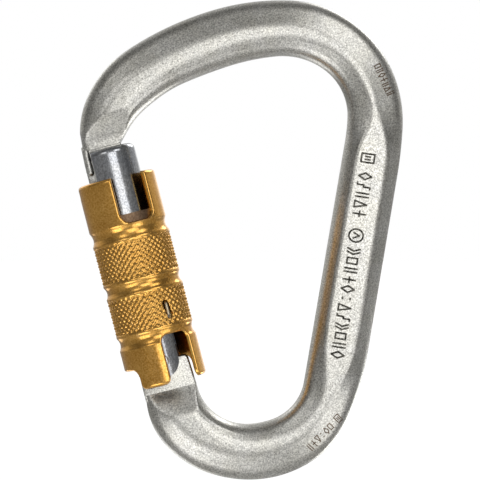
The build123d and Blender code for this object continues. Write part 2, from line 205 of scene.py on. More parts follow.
ZINC = metal("zinc_satin", (0.27, 0.265, 0.25), (0.76, 0.75, 0.715), grain=0.36,
             rough=(0.29, 0.37), bump=0.45, tint=(0.90, 0.89, 0.85), pits=0.40)
MARK = metal("mark_dark", (0.07, 0.065, 0.055), (0.24, 0.23, 0.20), grain=0.3,
             rough=(0.4, 0.6), bump=0.3)
MARK_BROWN = metal("mark_brown", (0.09, 0.065, 0.045), (0.20, 0.15, 0.11), grain=0.3,
                   rough=(0.4, 0.6), bump=0.3)
# the gate's lower flats, front and back, get painted shade up to this height
POLISHED = metal("steel_polished", 0.24, 0.52, grain=0.34, rough=(0.13, 0.20), bump=0.16,
                 tint=(0.90, 0.93, 1.0), stretch=1.6, flats_shade_top=19.0)
RIVET = metal("steel_rivet", 0.45, 0.66, grain=0.3, rough=(0.2, 0.3), bump=0.15)
INNER = metal("steel_turned", 0.24, 0.38, grain=0.4, rough=(0.25, 0.4), bump=0.2)
SPRING = metal("steel_spring", (0.26, 0.21, 0.14), (0.48, 0.40, 0.29), grain=0.3,
               rough=(0.18, 0.3), bump=0.1)
BRONZE = metal("bronze_dull", (0.13, 0.08, 0.05), (0.24, 0.16, 0.10), grain=0.5,
               rough=(0.35, 0.5), bump=0.2)
# the sleeve's knurl grooves and other hollows get painted shade
GOLD = metal("gold_anodised", (0.58, 0.29, 0.05), (0.92, 0.53, 0.15), grain=0.45,
             rough=(0.16, 0.25), bump=0.25, tint=(0.88, 0.83, 0.76), worn=0.12, hollow_shade=0.95)
GOLD_CUT = metal("gold_cut_edge", (0.62, 0.36, 0.07), (0.84, 0.53, 0.14), grain=0.5,
                 rough=(0.16, 0.24), bump=0.1)
NODE_METALS = {"gate": POLISHED, "hinge_rivet": RIVET, "gate_plunger": INNER,
               "gate_spring": SPRING, "sleeve": GOLD, "upper_bush": BRONZE,
               "guide_bush": INNER, "retaining_ring": INNER, "stop_pin": INNER,
               "sleeve_spring": SPRING, "frame": ZINC}
for node, material in NODE_METALS.items():
    node_materials = frame["nodes"][node].data.materials
    node_materials.clear()
    node_materials.append(material)


def face_outwards(mesh):
    """Turns every face of a closed mesh to the outside."""
    work = bmesh.new()
    work.from_mesh(mesh)
    bmesh.ops.recalc_face_normals(work, faces=work.faces)
    work.to_mesh(mesh)
    work.free()


def add_mesh(name, vertices, faces, materials, body, replaced=(), face_slots=None,
             sharp=radians(35)):
    """Smooth-shaded piece from points in mm that rides on a body."""
    mesh = bpy.data.meshes.new(name)
    mesh.from_pydata((np.asarray(vertices) * MM).tolist(), [], faces)
    for material in materials:
        mesh.materials.append(material)
    if face_slots is not None:
        mesh.polygons.foreach_set("material_index", face_slots)
    mesh.validate()
    face_outwards(mesh)
    mesh.shade_smooth()
    mesh.set_sharp_from_angle(angle=sharp)
    piece = bpy.data.objects.new(name, mesh)
    bpy.context.scene.collection.objects.link(piece)
    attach(piece, body)
    if replaced:
        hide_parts(*replaced)
    return piece


# ---------------------------------------------------------------- outline of the forged bar
SPINE_OUT_TOP = (30.4, -29.4)
SPINE_OUT_END = (23.05, -73.4)
SPINE_IN_TOP = (17.2, -21.4)
SPINE_IN_END = (7.8, -76.4)
OUTER_TOP = [(31.65, -18.25), (29.1, -3.8), (14.9, 11.1), (3.55, 13.95), (-15.45, 11.6),
             (-36.95, 1.7), (-47.05, -10.05), (-49.0, -19.35)]
OUTER_END = [(18.0, -90.4), (7.9, -101.8), (-4.95, -105.7), (-17.1, -104.0),
             (-27.05, -97.7), (-32.35, -86.55)]
INNER_TOP = [(17.85, -15.45), (12.05, -3.3), (0.0, 0.0), (-11.8, -2.45), (-22.85, -6.6),
             (-28.95, -10.1), (-33.1, -13.5), (-36.9, -18.25)]
INNER_END = [(6.95, -81.3), (-0.85, -90.6), (-6.65, -91.8), (-15.1, -89.25), (-19.65, -82.3)]
STEP = 0.5                  # spacing of the stations along the bar


def turned(direction, angle):
    """Direction in the link plane turned anticlockwise by an angle."""
    x, z = direction
    return np.array((x * cos(angle) - z * sin(angle), x * sin(angle) + z * cos(angle)))


def arc_chain(start, heading, points):
    """Dense points on arcs from start through the points, each tangent to the one before."""
    path = [np.array(start)]
    heading = np.array(heading) / hypot(*heading)
    for point in points:
        start = path[-1]
        chord = np.array(point) - start
        length = hypot(*chord)
        lean = atan2(heading[0] * chord[1] - heading[1] * chord[0], heading @ chord)
        count = int(length / STEP) + 2
        for part in np.linspace(0, lean, count)[1:]:
            path.append(start + turned(heading, part) * length * sin(part) / sin(lean))
        heading = turned(heading, 2 * lean)
    return np.array(path)


def length_along(path):
    return np.concatenate(([0], np.cumsum(np.hypot(*np.diff(path, axis=0).T))))


def at_lengths(path, lengths):
    """Points on a path at distances along it."""
    along = length_along(path)
    return np.stack([np.interp(lengths, along, path[:, axis]) for axis in (0, 1)], axis=1)


def bar_line(out_top, out_end, top, end):
    """One side of the bar from the nose round the spine to the tail."""
    rise = np.array(out_top) - np.array(out_end)
    return np.vstack((arc_chain(out_top, rise, top)[::-1], arc_chain(out_end, -rise, end)))


EVEN_ENDS = 11.0            # length over which the stations turn square to the bar's ends
MATCH_STEP = 0.1            # spacing at which the inner side is searched for matching points
MATCH_REACH = 5.0           # length to each side over which the matches are averaged


def bar_stations():
    """Matching points on the outer and the inner side, square to the bar."""
    outer = bar_line(SPINE_OUT_TOP, SPINE_OUT_END, OUTER_TOP, OUTER_END)
    inner = bar_line(SPINE_IN_TOP, SPINE_IN_END, INNER_TOP, INNER_END)
    total = length_along(outer)[-1]
    along = np.linspace(0, total, int(total / STEP))
    outer = at_lengths(outer, along)
    inner_total = length_along(inner)[-1]
    inner_along = np.linspace(0, inner_total, int(inner_total / MATCH_STEP))
    fine = at_lengths(inner, inner_along)
    gaps = np.hypot(outer[:, None, 0] - fine[None, :, 0], outer[:, None, 1] - fine[None, :, 1])
    nearest = inner_along[gaps.argmin(axis=1)]
    free = (along > EVEN_ENDS) & (along < total - EVEN_ENDS)
    anchors = np.concatenate(([0], along[free], [total]))
    nearest = np.interp(along, anchors, np.concatenate(([0], nearest[free], [inner_total])))
    reach = int(MATCH_REACH / STEP)
    padded = np.concatenate((2 * nearest[0] - nearest[reach:0:-1], nearest,
                             2 * nearest[-1] - nearest[-2:-reach - 2:-1]))
    nearest = np.convolve(padded, np.ones(2 * reach + 1) / (2 * reach + 1), "valid")
    return outer, at_lengths(inner, np.clip(nearest, 0, inner_total))


# ---------------------------------------------------------------- section of the bar
DEPTH_HALF = 5.5
SECTION_REACH = 3.0         # length to each side over which the sections are averaged
PLATE_HALF = 2.9            # half thickness of the nose plate
NOSE_FLAT = 57.5            # gate heights where the nose's slope starts
NOSE_FULL = 63.0            # and reaches the full bar
PLATE_FOOT = 55.25
PLATE_OUT = -6.19           # sides of the nose plate, across the gate
NOSE_IN = 3.5
TAIL_HALF = 2.5
TAIL_FLAT = -7.5
TAIL_FULL = -14.2
TAIL_FLAT_OUT = -6.55       # sides of the bar where the tail's flat starts
TAIL_FLAT_IN = 6.75
END_REACH = 60.0            # length of bar next to each end that its slope may cut
CREASE = 0.3                # softness of the line where a slope meets the bar
FOOT_EASE = 1.2             # and of the one at its foot

# Sections at places on the outer line: width of the slope and half height of the rim on the
# outer side, the same on the inner side, then the softness of the two lines beside the pad
SECTIONS = [
    ((-49.0, -19.35), (5.3, 2.4, 2.3, 3.3, 1.2, 1.0)),
    ((-47.05, -10.05), (5.6, 2.4, 2.5, 3.2, 1.4, 1.2)),
    ((-36.95, 1.7), (6.6, 2.4, 4.0, 3.1, 0.7, 2.0)),
    ((-15.45, 11.6), (6.8, 2.5, 4.9, 3.0, 0.8, 2.2)),
    ((3.55, 13.95), (6.5, 2.5, 4.9, 3.0, 0.8, 2.2)),
    ((14.9, 11.1), (6.5, 2.5, 5.0, 3.0, 0.9, 2.0)),
    ((29.1, -3.8), (6.8, 2.6, 5.4, 3.0, 0.9, 1.6)),
    ((31.6, -13.5), (6.9, 2.8, 6.2, 3.2, 0.7, 0.7)),
    ((31.6, -18.5), (5.2, 2.0, 5.2, 2.1, 0.6, 0.6)),
    ((31.2, -24.0), (3.4, 0.9, 3.5, 2.2, 0.9, 0.6)),
    ((30.4, -29.4), (3.1, 0.3, 3.1, 1.9, 1.1, 0.7)),
    ((23.8, -69.0), (3.1, 0.3, 3.1, 1.9, 1.1, 0.7)),
    ((22.6, -75.5), (3.6, 0.8, 3.6, 2.1, 0.9, 0.6)),
    ((21.0, -82.0), (5.4, 2.0, 5.0, 2.1, 0.7, 0.7)),
    ((18.0, -90.4), (6.6, 2.6, 5.2, 3.0, 0.9, 1.4)),
    ((7.9, -101.8), (6.6, 2.5, 4.7, 3.0, 1.0, 2.0)),
    ((-4.95, -105.7), (6.4, 2.5, 4.3, 3.0, 1.2, 2.2)),
    ((-17.1, -104.0), (6.1, 2.4, 3.5, 3.1, 1.6, 1.8)),
    ((-27.05, -97.7), (5.6, 2.4, 2.9, 3.3, 1.6, 1.2)),
    ((-32.35, -86.55), (5.3, 2.4, 2.6, 3.4, 1.4, 0.8)),
]
RIM_ROUND = 2.8             # how far up the slopes the rims are rounded
RIM_CORNER = 0.7            # height from a rim's edge to its corner with the slope
RIM_EASE = 0.5              # what its rounding takes of that height, besides the whole rim
LEAST_PAD = 0.3             # least width of the pad
PAD_EASE = 0.45             # largest share of the pad that the softness of a line takes
SIDE_COUNTS = [2, 12, 12, 10, 2]                        # points along each side of the section
CORNER_COUNTS = [9, 6, 6, 9]                            # and round each of its corners


def rounded(corners, cuts, counts, bends):
    """Open line through corners, each inner one eased by a cut before and a cut after it."""
    corners = [np.array(corner) for corner in corners]
    points = []
    last = corners[0]
    for index, (cut_before, cut_after) in enumerate(cuts, start=1):
        corner = corners[index]
        before = corners[index - 1] - corner
        after = corners[index + 1] - corner
        start = corner + before / hypot(*before) * cut_before
        end = corner + after / hypot(*after) * cut_after
        points += list(np.linspace(last, start, counts[index - 1], endpoint=False))
        for part in np.linspace(0, 1, bends[index - 1]):
            easing = (1 - part) ** 2, 2 * part * (1 - part), part ** 2
            points.append(easing[0] * start + easing[1] * corner + easing[2] * end)
        points.pop()
        last = end
    points += list(np.linspace(last, corners[-1], counts[-1]))
    return np.array(points)


def soft_min(a, b):
    return 0.5 * (a + b - np.sqrt((a - b) ** 2 + CREASE ** 2))


def climb(distance):
    """Distance past a slope's foot, eased round it."""
    return 0.5 * (distance + np.sqrt(distance ** 2 + FOOT_EASE ** 2))


def bar_vertices():
    """Rings of points round the bar, from the nose plate's foot to the tail."""
    outer, inner = bar_stations()
    along = length_along(outer)
    total = along[-1]
    places = [along[np.hypot(*(outer - spot).T).argmin()] for spot, _ in SECTIONS]
    values = np.array([row for _, row in SECTIONS])
    shape = np.stack([np.interp(along, places, column) for column in values.T], axis=1)
    reach = int(SECTION_REACH / STEP)
    padded = np.pad(shape, ((reach, reach), (0, 0)), mode="edge")
    kernel = np.ones(2 * reach + 1) / (2 * reach + 1)
    shape = np.stack([np.convolve(column, kernel, "valid") for column in padded.T], axis=1)
    # carry the bar on to the foot of the nose plate and to the tail's flat
    nose_count, tail_count = 14, 6
    nose_out = np.linspace(on_gate(PLATE_OUT, PLATE_FOOT), outer[0], nose_count, endpoint=False)
    nose_in = np.linspace(on_gate(NOSE_IN, PLATE_FOOT), inner[0], nose_count, endpoint=False)
    tail_out = np.linspace(outer[-1], on_gate(TAIL_FLAT_OUT, TAIL_FLAT), tail_count)[1:]
    tail_in = np.linspace(inner[-1], on_gate(TAIL_FLAT_IN, TAIL_FLAT), tail_count)[1:]
    outer = np.vstack((nose_out, outer, tail_out))
    inner = np.vstack((nose_in, inner, tail_in))
    shape = np.vstack((np.repeat(shape[:1], nose_count, axis=0), shape,
                       np.repeat(shape[-1:], tail_count - 1, axis=0)))
    along = length_along(outer)
    total = along[-1]
    rings = []
    for start, end, values, run in zip(outer, inner, shape, along):
        width = hypot(*(end - start))
        slope_out, rim_out, slope_in, rim_in, soft_out, soft_in = values
        crown = max(width - slope_out - slope_in, LEAST_PAD)
        spare = (width - crown) / (slope_out + slope_in)
        slope_out, slope_in = slope_out * spare, slope_in * spare
        soft_out = min(soft_out, crown * PAD_EASE)
        soft_in = min(soft_in, crown * PAD_EASE)
        half = rounded([(0, 0), (0, rim_out + RIM_CORNER), (slope_out, DEPTH_HALF),
                        (width - slope_in, DEPTH_HALF), (width, rim_in + RIM_CORNER),
                        (width, 0)],
                       [(rim_out + RIM_EASE, min(RIM_ROUND, slope_out)), (soft_out, soft_out),
                        (soft_in, soft_in), (min(RIM_ROUND, slope_in), rim_in + RIM_EASE)],
                       SIDE_COUNTS, CORNER_COUNTS)
        direction = (end - start) / width
        spots = start + half[:, :1] * direction
        height = half[:, 1]
        level = gate_height(spots.T)
        if run < END_REACH:
            slope = (DEPTH_HALF - PLATE_HALF) / (NOSE_FULL - NOSE_FLAT)
            height = soft_min(height, PLATE_HALF + climb(level - NOSE_FLAT) * slope)
        elif run > total - END_REACH:
            slope = (DEPTH_HALF - TAIL_HALF) / (TAIL_FLAT - TAIL_FULL)
            height = soft_min(height, TAIL_HALF + climb(TAIL_FLAT - level) * slope)
        height[[0, -1]] = 0
        front = np.stack((spots[:, 0], -height, spots[:, 1]), axis=1)
        back = front[-2:0:-1] * (1, -1, 1)
        rings.append(np.vstack((front, back)))
    return np.array(rings)


def sheet_faces(rows, columns, closed):
    """Quads of a grid of points, row by row; closed joins its last column to the first."""
    faces = []
    for row in range(rows - 1):
        for column in range(columns if closed else columns - 1):
            right = (column + 1) % columns
            faces.append((row * columns + column, row * columns + right,
                          (row + 1) * columns + right, (row + 1) * columns + column))
    return faces


def build_bar():
    rings = bar_vertices()
    rows, columns = rings.shape[:2]
    faces = sheet_faces(rows, columns, closed=True)
    faces.append(tuple(range(columns - 1, -1, -1)))
    faces.append(tuple(range((rows - 1) * columns, rows * columns)))
    return rings.reshape(-1, 3), faces


# ---------------------------------------------------------------- nose and tail
NOSE_OUT = -6.6
NOSE_SLIM = -4.0            # outer side of the tongue that stands inside the sleeve
NOSE_TIP = 42.0
STRIP_FOOT = 48.9
TONGUE_STEP = 45.5          # where the tongue narrows to enter the sleeve
STRIP_EDGE = -4.7           # inner edge of the strip beside the gate's cheeks
TONGUE_HALF = 1.5
HEAD_HALF = 2.7
TAIL_SIDE = 6.5
CAM_RADIUS = 4.0
RIVET_HOLE = 1.8
HOLE_HALF = 8.0             # half length of the cut for it, well past the tail
END_EASE = 0.3              # rounding of the thin ends' edges
STRIP_EASE = 0.8            # and of the strip's


def prism(name, outline, half, ease):
    """Flat piece of the frame over an outline in gate coordinates, its edges rounded."""
    count = len(outline)
    flat = [on_gate(x, height) for x, height in outline]
    points = [(x, side * half, z) for side in (-1, 1) for x, z in flat]
    faces = [tuple(range(count)), tuple(range(2 * count - 1, count - 1, -1))]
    faces += [(k, k + count, (k + 1) % count + count, (k + 1) % count) for k in range(count)]
    mesh = bpy.data.meshes.new(name)
    mesh.from_pydata((np.array(points) * MM).tolist(), [], faces)
    face_outwards(mesh)
    solid = bpy.data.objects.new(name, mesh)
    bpy.context.scene.collection.objects.link(solid)
    if ease:
        bevel = solid.modifiers.new("ease", "BEVEL")
        bevel.width = ease * MM
        bevel.segments = 3
        bevel.limit_method = "ANGLE"
        bevel.angle_limit = radians(28)
    return solid


def arc_points(radius, start, end, count):
    """Points of an arc round the pivot, its angles from the gate's inner side."""
    angles = np.radians(np.linspace(start, end, count))
    return [(radius * cos(angle), radius * sin(angle)) for angle in angles]


def settle(solid):
    """Replaces an object's mesh by what its modifiers make of it."""
    bpy.context.view_layer.update()
    shown = solid.evaluated_get(bpy.context.evaluated_depsgraph_get())
    mesh = bpy.data.meshes.new_from_object(shown)
    solid.modifiers.clear()
    solid.data = mesh


def combine(base, other, operation):
    """Adds another closed solid to a piece, or cuts it away, and removes that solid."""
    step = base.modifiers.new(operation.lower(), "BOOLEAN")
    step.object = other
    step.operation = operation
    step.solver = "MANIFOLD"
    settle(base)
    bpy.data.objects.remove(other)


bar_points, bar_faces = build_bar()
bar = add_mesh("forged_frame", bar_points, bar_faces, [ZINC], "frame_body",
               ["frame"])
strip = [(PLATE_OUT, 56.0), (NOSE_OUT, 50.0), (NOSE_OUT + 0.3, STRIP_FOOT),
         (STRIP_EDGE, STRIP_FOOT), (STRIP_EDGE, 56.0)]
tongue = [(NOSE_OUT + 0.2, 56.5), (NOSE_OUT, 52.0), (NOSE_OUT, 46.5),
          (NOSE_OUT + 0.8, TONGUE_STEP), (NOSE_SLIM, TONGUE_STEP), (NOSE_SLIM, NOSE_TIP),
          (NOSE_IN, NOSE_TIP), (NOSE_IN, 56.5)]
head = [(NOSE_SLIM, 49.0), (NOSE_IN - 0.1, 49.0), (NOSE_IN - 0.1, 53.0), (NOSE_SLIM, 53.0)]
cam = arc_points(CAM_RADIUS, 180, 90, 9)
cam_slope = [(1.0, 4.08), (1.95, 4.15), (2.8, 4.0), (3.6, 3.55), (4.2, 3.1)]
tail = ([(-TAIL_SIDE, -9.2), (-TAIL_SIDE, -3.5)] + cam + cam_slope
        + [(4.2, 0.1), (5.8, 0.1), (6.35, -0.6), (TAIL_FLAT_IN, -7.6), (6.6, -9.2)])
for name, outline, half, ease in (("nose_strip", strip, PLATE_HALF - 0.02, STRIP_EASE),
                                  ("nose_tongue", tongue, TONGUE_HALF, END_EASE),
                                  ("nose_head", head, HEAD_HALF, END_EASE),
                                  ("tail_tongue", tail, TAIL_HALF, END_EASE)):
    thin_end = prism(name, outline, half, ease)
    settle(thin_end)
    combine(bar, thin_end, "UNION")
combine(bar, prism("rivet_hole", arc_points(RIVET_HOLE, 0, 350, 36), HOLE_HALF, ease=0), "DIFFERENCE")
bar.data.shade_smooth()
bar.data.set_sharp_from_angle(angle=radians(35))

# ---------------------------------------------------------------- marks on the frame
SIGN_FILL = 0.76            # share of its place in the row that a sign takes
MARK_SINK = 0.08            # how far the strokes reach into the steel
MARK_CLEAR = 0.015          # and stand clear of it, so that they show
MARK_STEP = 0.35            # longest piece of a stroke
# Plain signs as strokes: along the row from 0 to 1, across it from -0.5 to 0.5
SIGNS = {
    "panel": [[(0, -0.5), (1.2, -0.5), (1.2, 0.5), (0, 0.5), (0, -0.5)],
              [(0.4, -0.2), (0.4, 0.2)], [(0.8, -0.2), (0.8, 0.2)]],
    "diamond": [[(0.5, -0.5), (0.95, 0), (0.5, 0.5), (0.05, 0), (0.5, -0.5)]],
    "bars": [[(0.25, -0.5), (0.25, 0.5)], [(0.75, -0.5), (0.75, 0.5)]],
    "triangle": [[(0.05, -0.5), (0.95, -0.5), (0.5, 0.45), (0.05, -0.5)]],
    "plus": [[(0.1, 0), (0.9, 0)], [(0.5, -0.5), (0.5, 0.5)]],
    "chevrons": [[(0.1, 0.5), (0.45, 0), (0.1, -0.5)], [(0.55, 0.5), (0.9, 0), (0.55, -0.5)]],
    "square": [[(0.1, -0.4), (0.9, -0.4), (0.9, 0.4), (0.1, 0.4), (0.1, -0.4)]],
    "steps": [[(0.1, -0.5), (0.4, -0.5), (0.4, 0), (0.7, 0), (0.7, 0.5), (0.95, 0.5)]],
    "oval": [[(0.9 + 0.9 * cos(turn), 0.55 * sin(turn)) for turn in np.linspace(0, 2 * pi, 25)],
             [(0.5, -0.2), (0.9, 0.25), (1.3, -0.2)]],
    "dots": [[(0.4, 0.3), (0.6, 0.3)], [(0.4, -0.3), (0.6, -0.3)]],
}
steel = BVHTree.FromPolygons([vertex.co for vertex in bar.data.vertices],
                             [tuple(face.vertices) for face in bar.data.polygons])


def on_steel(point):
    """Where a line along the depth through a link-plane point meets the front."""
    start = Vector((point[0] * MM, -0.02, point[1] * MM))
    return steel.ray_cast(start, Vector((0, 1, 0)))[0]


def stroke_mesh(stroke, width, vertices, faces):
    """Adds a ribbon over the steel along a stroke, closed all round."""
    path = [np.array(stroke[0])]
    for point in stroke[1:]:
        last = path[-1]
        count = int(hypot(*(np.array(point) - last)) / MARK_STEP) + 1
        path += [last + (np.array(point) - last) * part / count for part in range(1, count + 1)]
    for start, end in zip(path, path[1:]):
        ahead = (end - start) / max(hypot(*(end - start)), 1e-9)
        aside = turned(ahead, pi / 2) * width / 2
        over = ahead * width * 0.35
        corners = (start - over - aside, end + over - aside, end + over + aside,
                   start - over + aside)
        hits = [on_steel(corner) for corner in corners]
        if None in hits:
            continue
        first = len(vertices)
        for lift in (MARK_CLEAR, -MARK_SINK):
            vertices += [(hit.x / MM, hit.y / MM - lift, hit.z / MM) for hit in hits]
        faces += [tuple(first + k for k in face) for face in (
            (0, 1, 2, 3), (7, 6, 5, 4), (0, 4, 5, 1), (1, 5, 6, 2), (2, 6, 7, 3), (3, 7, 4, 0))]


def mark_row(name, signs, start, end, size, width, material):
    """Row of signs on the front of the frame between two link-plane points."""
    start, end = np.array(start), np.array(end)
    ahead = (end - start) / hypot(*(end - start))
    aside = turned(ahead, pi / 2)
    pitch = hypot(*(end - start)) / len(signs)
    vertices, faces = [], []
    for index, sign in enumerate(signs):
        for stroke in SIGNS.get(sign, []):
            points = [start + ahead * pitch * (index + 0.5 + (along - 0.5) * SIGN_FILL)
                      + aside * across * size for along, across in stroke]
            stroke_mesh(points, width, vertices, faces)
    add_mesh(name, vertices, faces, [material], "frame_body")


mark_row("marks_spine", ["panel", "", "diamond", "steps", "bars", "triangle", "plus", "", "oval",
                         "", "chevrons", "square", "bars", "plus", "diamond", "dots", "triangle",
                         "steps", "chevrons", "square", "bars", "diamond"],
         (22.9, -24.3), (15.0, -75.5), 3.2, 0.46, MARK)
mark_row("marks_shoulder", ["square", "bars", "diamond", "plus", "bars", "triangle", "bars"],
         (24.9, -2.2), (28.6, -10.0), 1.9, 0.28, MARK_BROWN)
mark_row("marks_foot", ["panel", "", "square", "diamond", "dots", "triangle", "plus", "bars"],
         (15.9, -89.6), (8.0, -97.9), 1.9, 0.26, MARK_BROWN)

# ---------------------------------------------------------------- sleeve
SLEEVE_RADIUS = 9.8
SLEEVE_BORE = 8.6
SKIRT_BORE = 8.75
SLEEVE_TOP = 47.0
SKIRT_END = -5.75
END_ROUND = 0.9
GROOVE_DEPTH = 0.55
GROOVES = [(8.0, 4.75), (21.0, 18.0), (35.0, 31.5)]     # top and bottom of each
LIP_RADIUS = 7.6
LIP = (7.6, 9.0)
KNURLS = [(8.4, 17.6), (21.4, 31.1)]                    # bottom and top of each band
KNURL_COUNT = 42
KNURL_DEPTH = 0.38
KNURL_FLAT = 0.12           # share of a diamond that stays flat
KNURL_FADE = 0.5
KNURL_STEPS = 7             # mesh steps along one diamond
RIM_STEP = 0.12             # row spacing on the rims
PLAIN_STEP = 0.33           # and on the plain turned parts
EDGE_EASE = 0.35            # rounding of the outer edge round the slots
DIAMOND = 2 * pi * SLEEVE_RADIUS / KNURL_COUNT


OPENING_REACH = 20.0        # half the length of an opening, which runs out past the sleeve's end


def box_distance(beside, beyond, corner):
    """Distance outside a box with rounded corners, from the distances past its sides."""
    beside, beyond = beside + corner, beyond + corner
    return (np.hypot(np.maximum(beside, 0), np.maximum(beyond, 0))
            + np.minimum(np.maximum(beside, beyond), 0) - corner)


def slot_distance(facing, half_width, edge, upward, corner):
    """Distance outside a slot with rounded corners that runs out at the sleeve's end."""
    middle = edge + OPENING_REACH if upward else edge - OPENING_REACH

    def distance(angle, height):
        turn = angle - radians(facing)
        away = box_distance(np.abs(SLEEVE_RADIUS * np.sin(turn)) - half_width,
                            np.abs(height - middle) - OPENING_REACH, corner)
        return np.where(np.cos(turn) > 0, away, OPENING_REACH)
    return distance


def sector_distance(start, span, edge, upward, corner):
    """Distance outside a cut-back that spans an arc of the sleeve up to its end."""
    middle = edge + OPENING_REACH if upward else edge - OPENING_REACH

    def distance(angle, height):
        turn = (angle - radians(start + span / 2) + pi) % (2 * pi) - pi
        return box_distance(SLEEVE_RADIUS * (np.abs(turn) - radians(span / 2)),
                            np.abs(height - middle) - OPENING_REACH, corner)
    return distance


TOP_SLOT = slot_distance(facing=22, half_width=4.5, edge=35.25, upward=True, corner=2.5)
SKIRT_SLOT = slot_distance(facing=32, half_width=4.0, edge=6.25, upward=False, corner=1.8)
SKIRT_NOTCH = sector_distance(start=128, span=191, edge=-0.5, upward=False, corner=2.2)
NOSE_SLOT = sector_distance(start=-138, span=50.5, edge=37.3, upward=True, corner=0.5)
NOSE_SLOT_WIDE = sector_distance(start=-138, span=56.2, edge=44.2, upward=True, corner=0.5)
TONGUE_ROUND = 1.7          # corners of the skirt's tongues and of the top rim beside the slots


def round_union(first, second, radius):
    """Distance outside two cuts together, the material's corner between them rounded."""
    near = np.hypot(np.maximum(radius - first, 0), np.maximum(radius - second, 0))
    return np.maximum(radius, np.minimum(first, second)) - near


def anchor_slot(angle, height):
    """Distance outside the slanted slot that holds the spring's leg."""
    facing, middle, half_length, radius, lean = radians(30), 12.25, 1.5, 0.8, radians(8)
    across = SLEEVE_RADIUS * np.sin(angle - facing) - 0.1
    along = (height - middle) * cos(lean) - across * sin(lean)
    beside = across * cos(lean) + (height - middle) * sin(lean)
    away = np.hypot(beside, np.maximum(np.abs(along) - half_length, 0)) - radius
    return np.where(np.cos(angle - facing) > 0, away, OPENING_REACH)


def openings(angle, height):
    """Distance from the nearest opening or rounded corner of the sleeve, negative inside."""
    skirt_end = height - SKIRT_END
    lower = np.minimum(SKIRT_SLOT(angle, height), SKIRT_NOTCH(angle, height))
    lower = round_union(lower, skirt_end + 0.02, TONGUE_ROUND)
    lower = np.where(height < 0, lower, np.minimum(SKIRT_SLOT(angle, height),
                                                   SKIRT_NOTCH(angle, height)))
    upper = np.minimum(np.minimum(TOP_SLOT(angle, height), NOSE_SLOT(angle, height)),
                       NOSE_SLOT_WIDE(angle, height))
    return np.minimum(np.minimum(lower, upper), anchor_slot(angle, height))


def turned_radius(height):
    """Outer radius of the plain turned sleeve."""
    radius = np.full_like(height, SLEEVE_RADIUS)
    for high, low in GROOVES:
        offset = (height - (high + low) / 2) / ((high - low) / 2)
        radius -= GROOVE_DEPTH * np.maximum(1 - offset ** 2, 0)
    for end, away in ((SLEEVE_TOP, -1), (SKIRT_END, 1)):
        short = np.maximum(END_ROUND - (height - end) * away, 0)
        radius -= END_ROUND - np.sqrt(END_ROUND ** 2 - np.minimum(short, END_ROUND) ** 2)
    return radius


def knurl_drop(angle, height):
    """Depth of the diamond knurling below the turned surface."""
    around = angle * KNURL_COUNT / (2 * pi)
    drop = np.zeros_like(height)
    for low, high in KNURLS:
        up = (height - low) / DIAMOND
        first = np.abs((around + up) % 1 - 0.5) * 2
        second = np.abs((around - up) % 1 - 0.5) * 2
        groove = np.clip((np.maximum(first, second) - KNURL_FLAT) / (1 - KNURL_FLAT), 0, 1)
        inside = np.minimum(height - low, high - height)
        drop += KNURL_DEPTH * groove * np.clip(inside / KNURL_FADE, 0, 1)
    return drop


def sleeve_rows():
    """Heights of the mesh rows: fine over the knurling and the rims, wider elsewhere."""
    marks = [SKIRT_END, SKIRT_END + END_ROUND, LIP[0] - 0.01, LIP[0] + 0.01, LIP[1] - 0.01,
             LIP[1] + 0.01, SLEEVE_TOP - END_ROUND, SLEEVE_TOP]
    marks += [mark for pair in GROOVES + KNURLS for mark in pair]
    marks = sorted(marks)
    rows = [marks[0]]
    for low, high in zip(marks, marks[1:]):
        middle = (low + high) / 2
        knurled = any(band[0] < middle < band[1] for band in KNURLS)
        step = DIAMOND / KNURL_STEPS if knurled else PLAIN_STEP
        step = RIM_STEP if high in (marks[1], SLEEVE_TOP) else step
        count = max(1, round((high - low) / step))
        rows += list(np.linspace(low, high, count + 1)[1:])
    return np.array(rows)


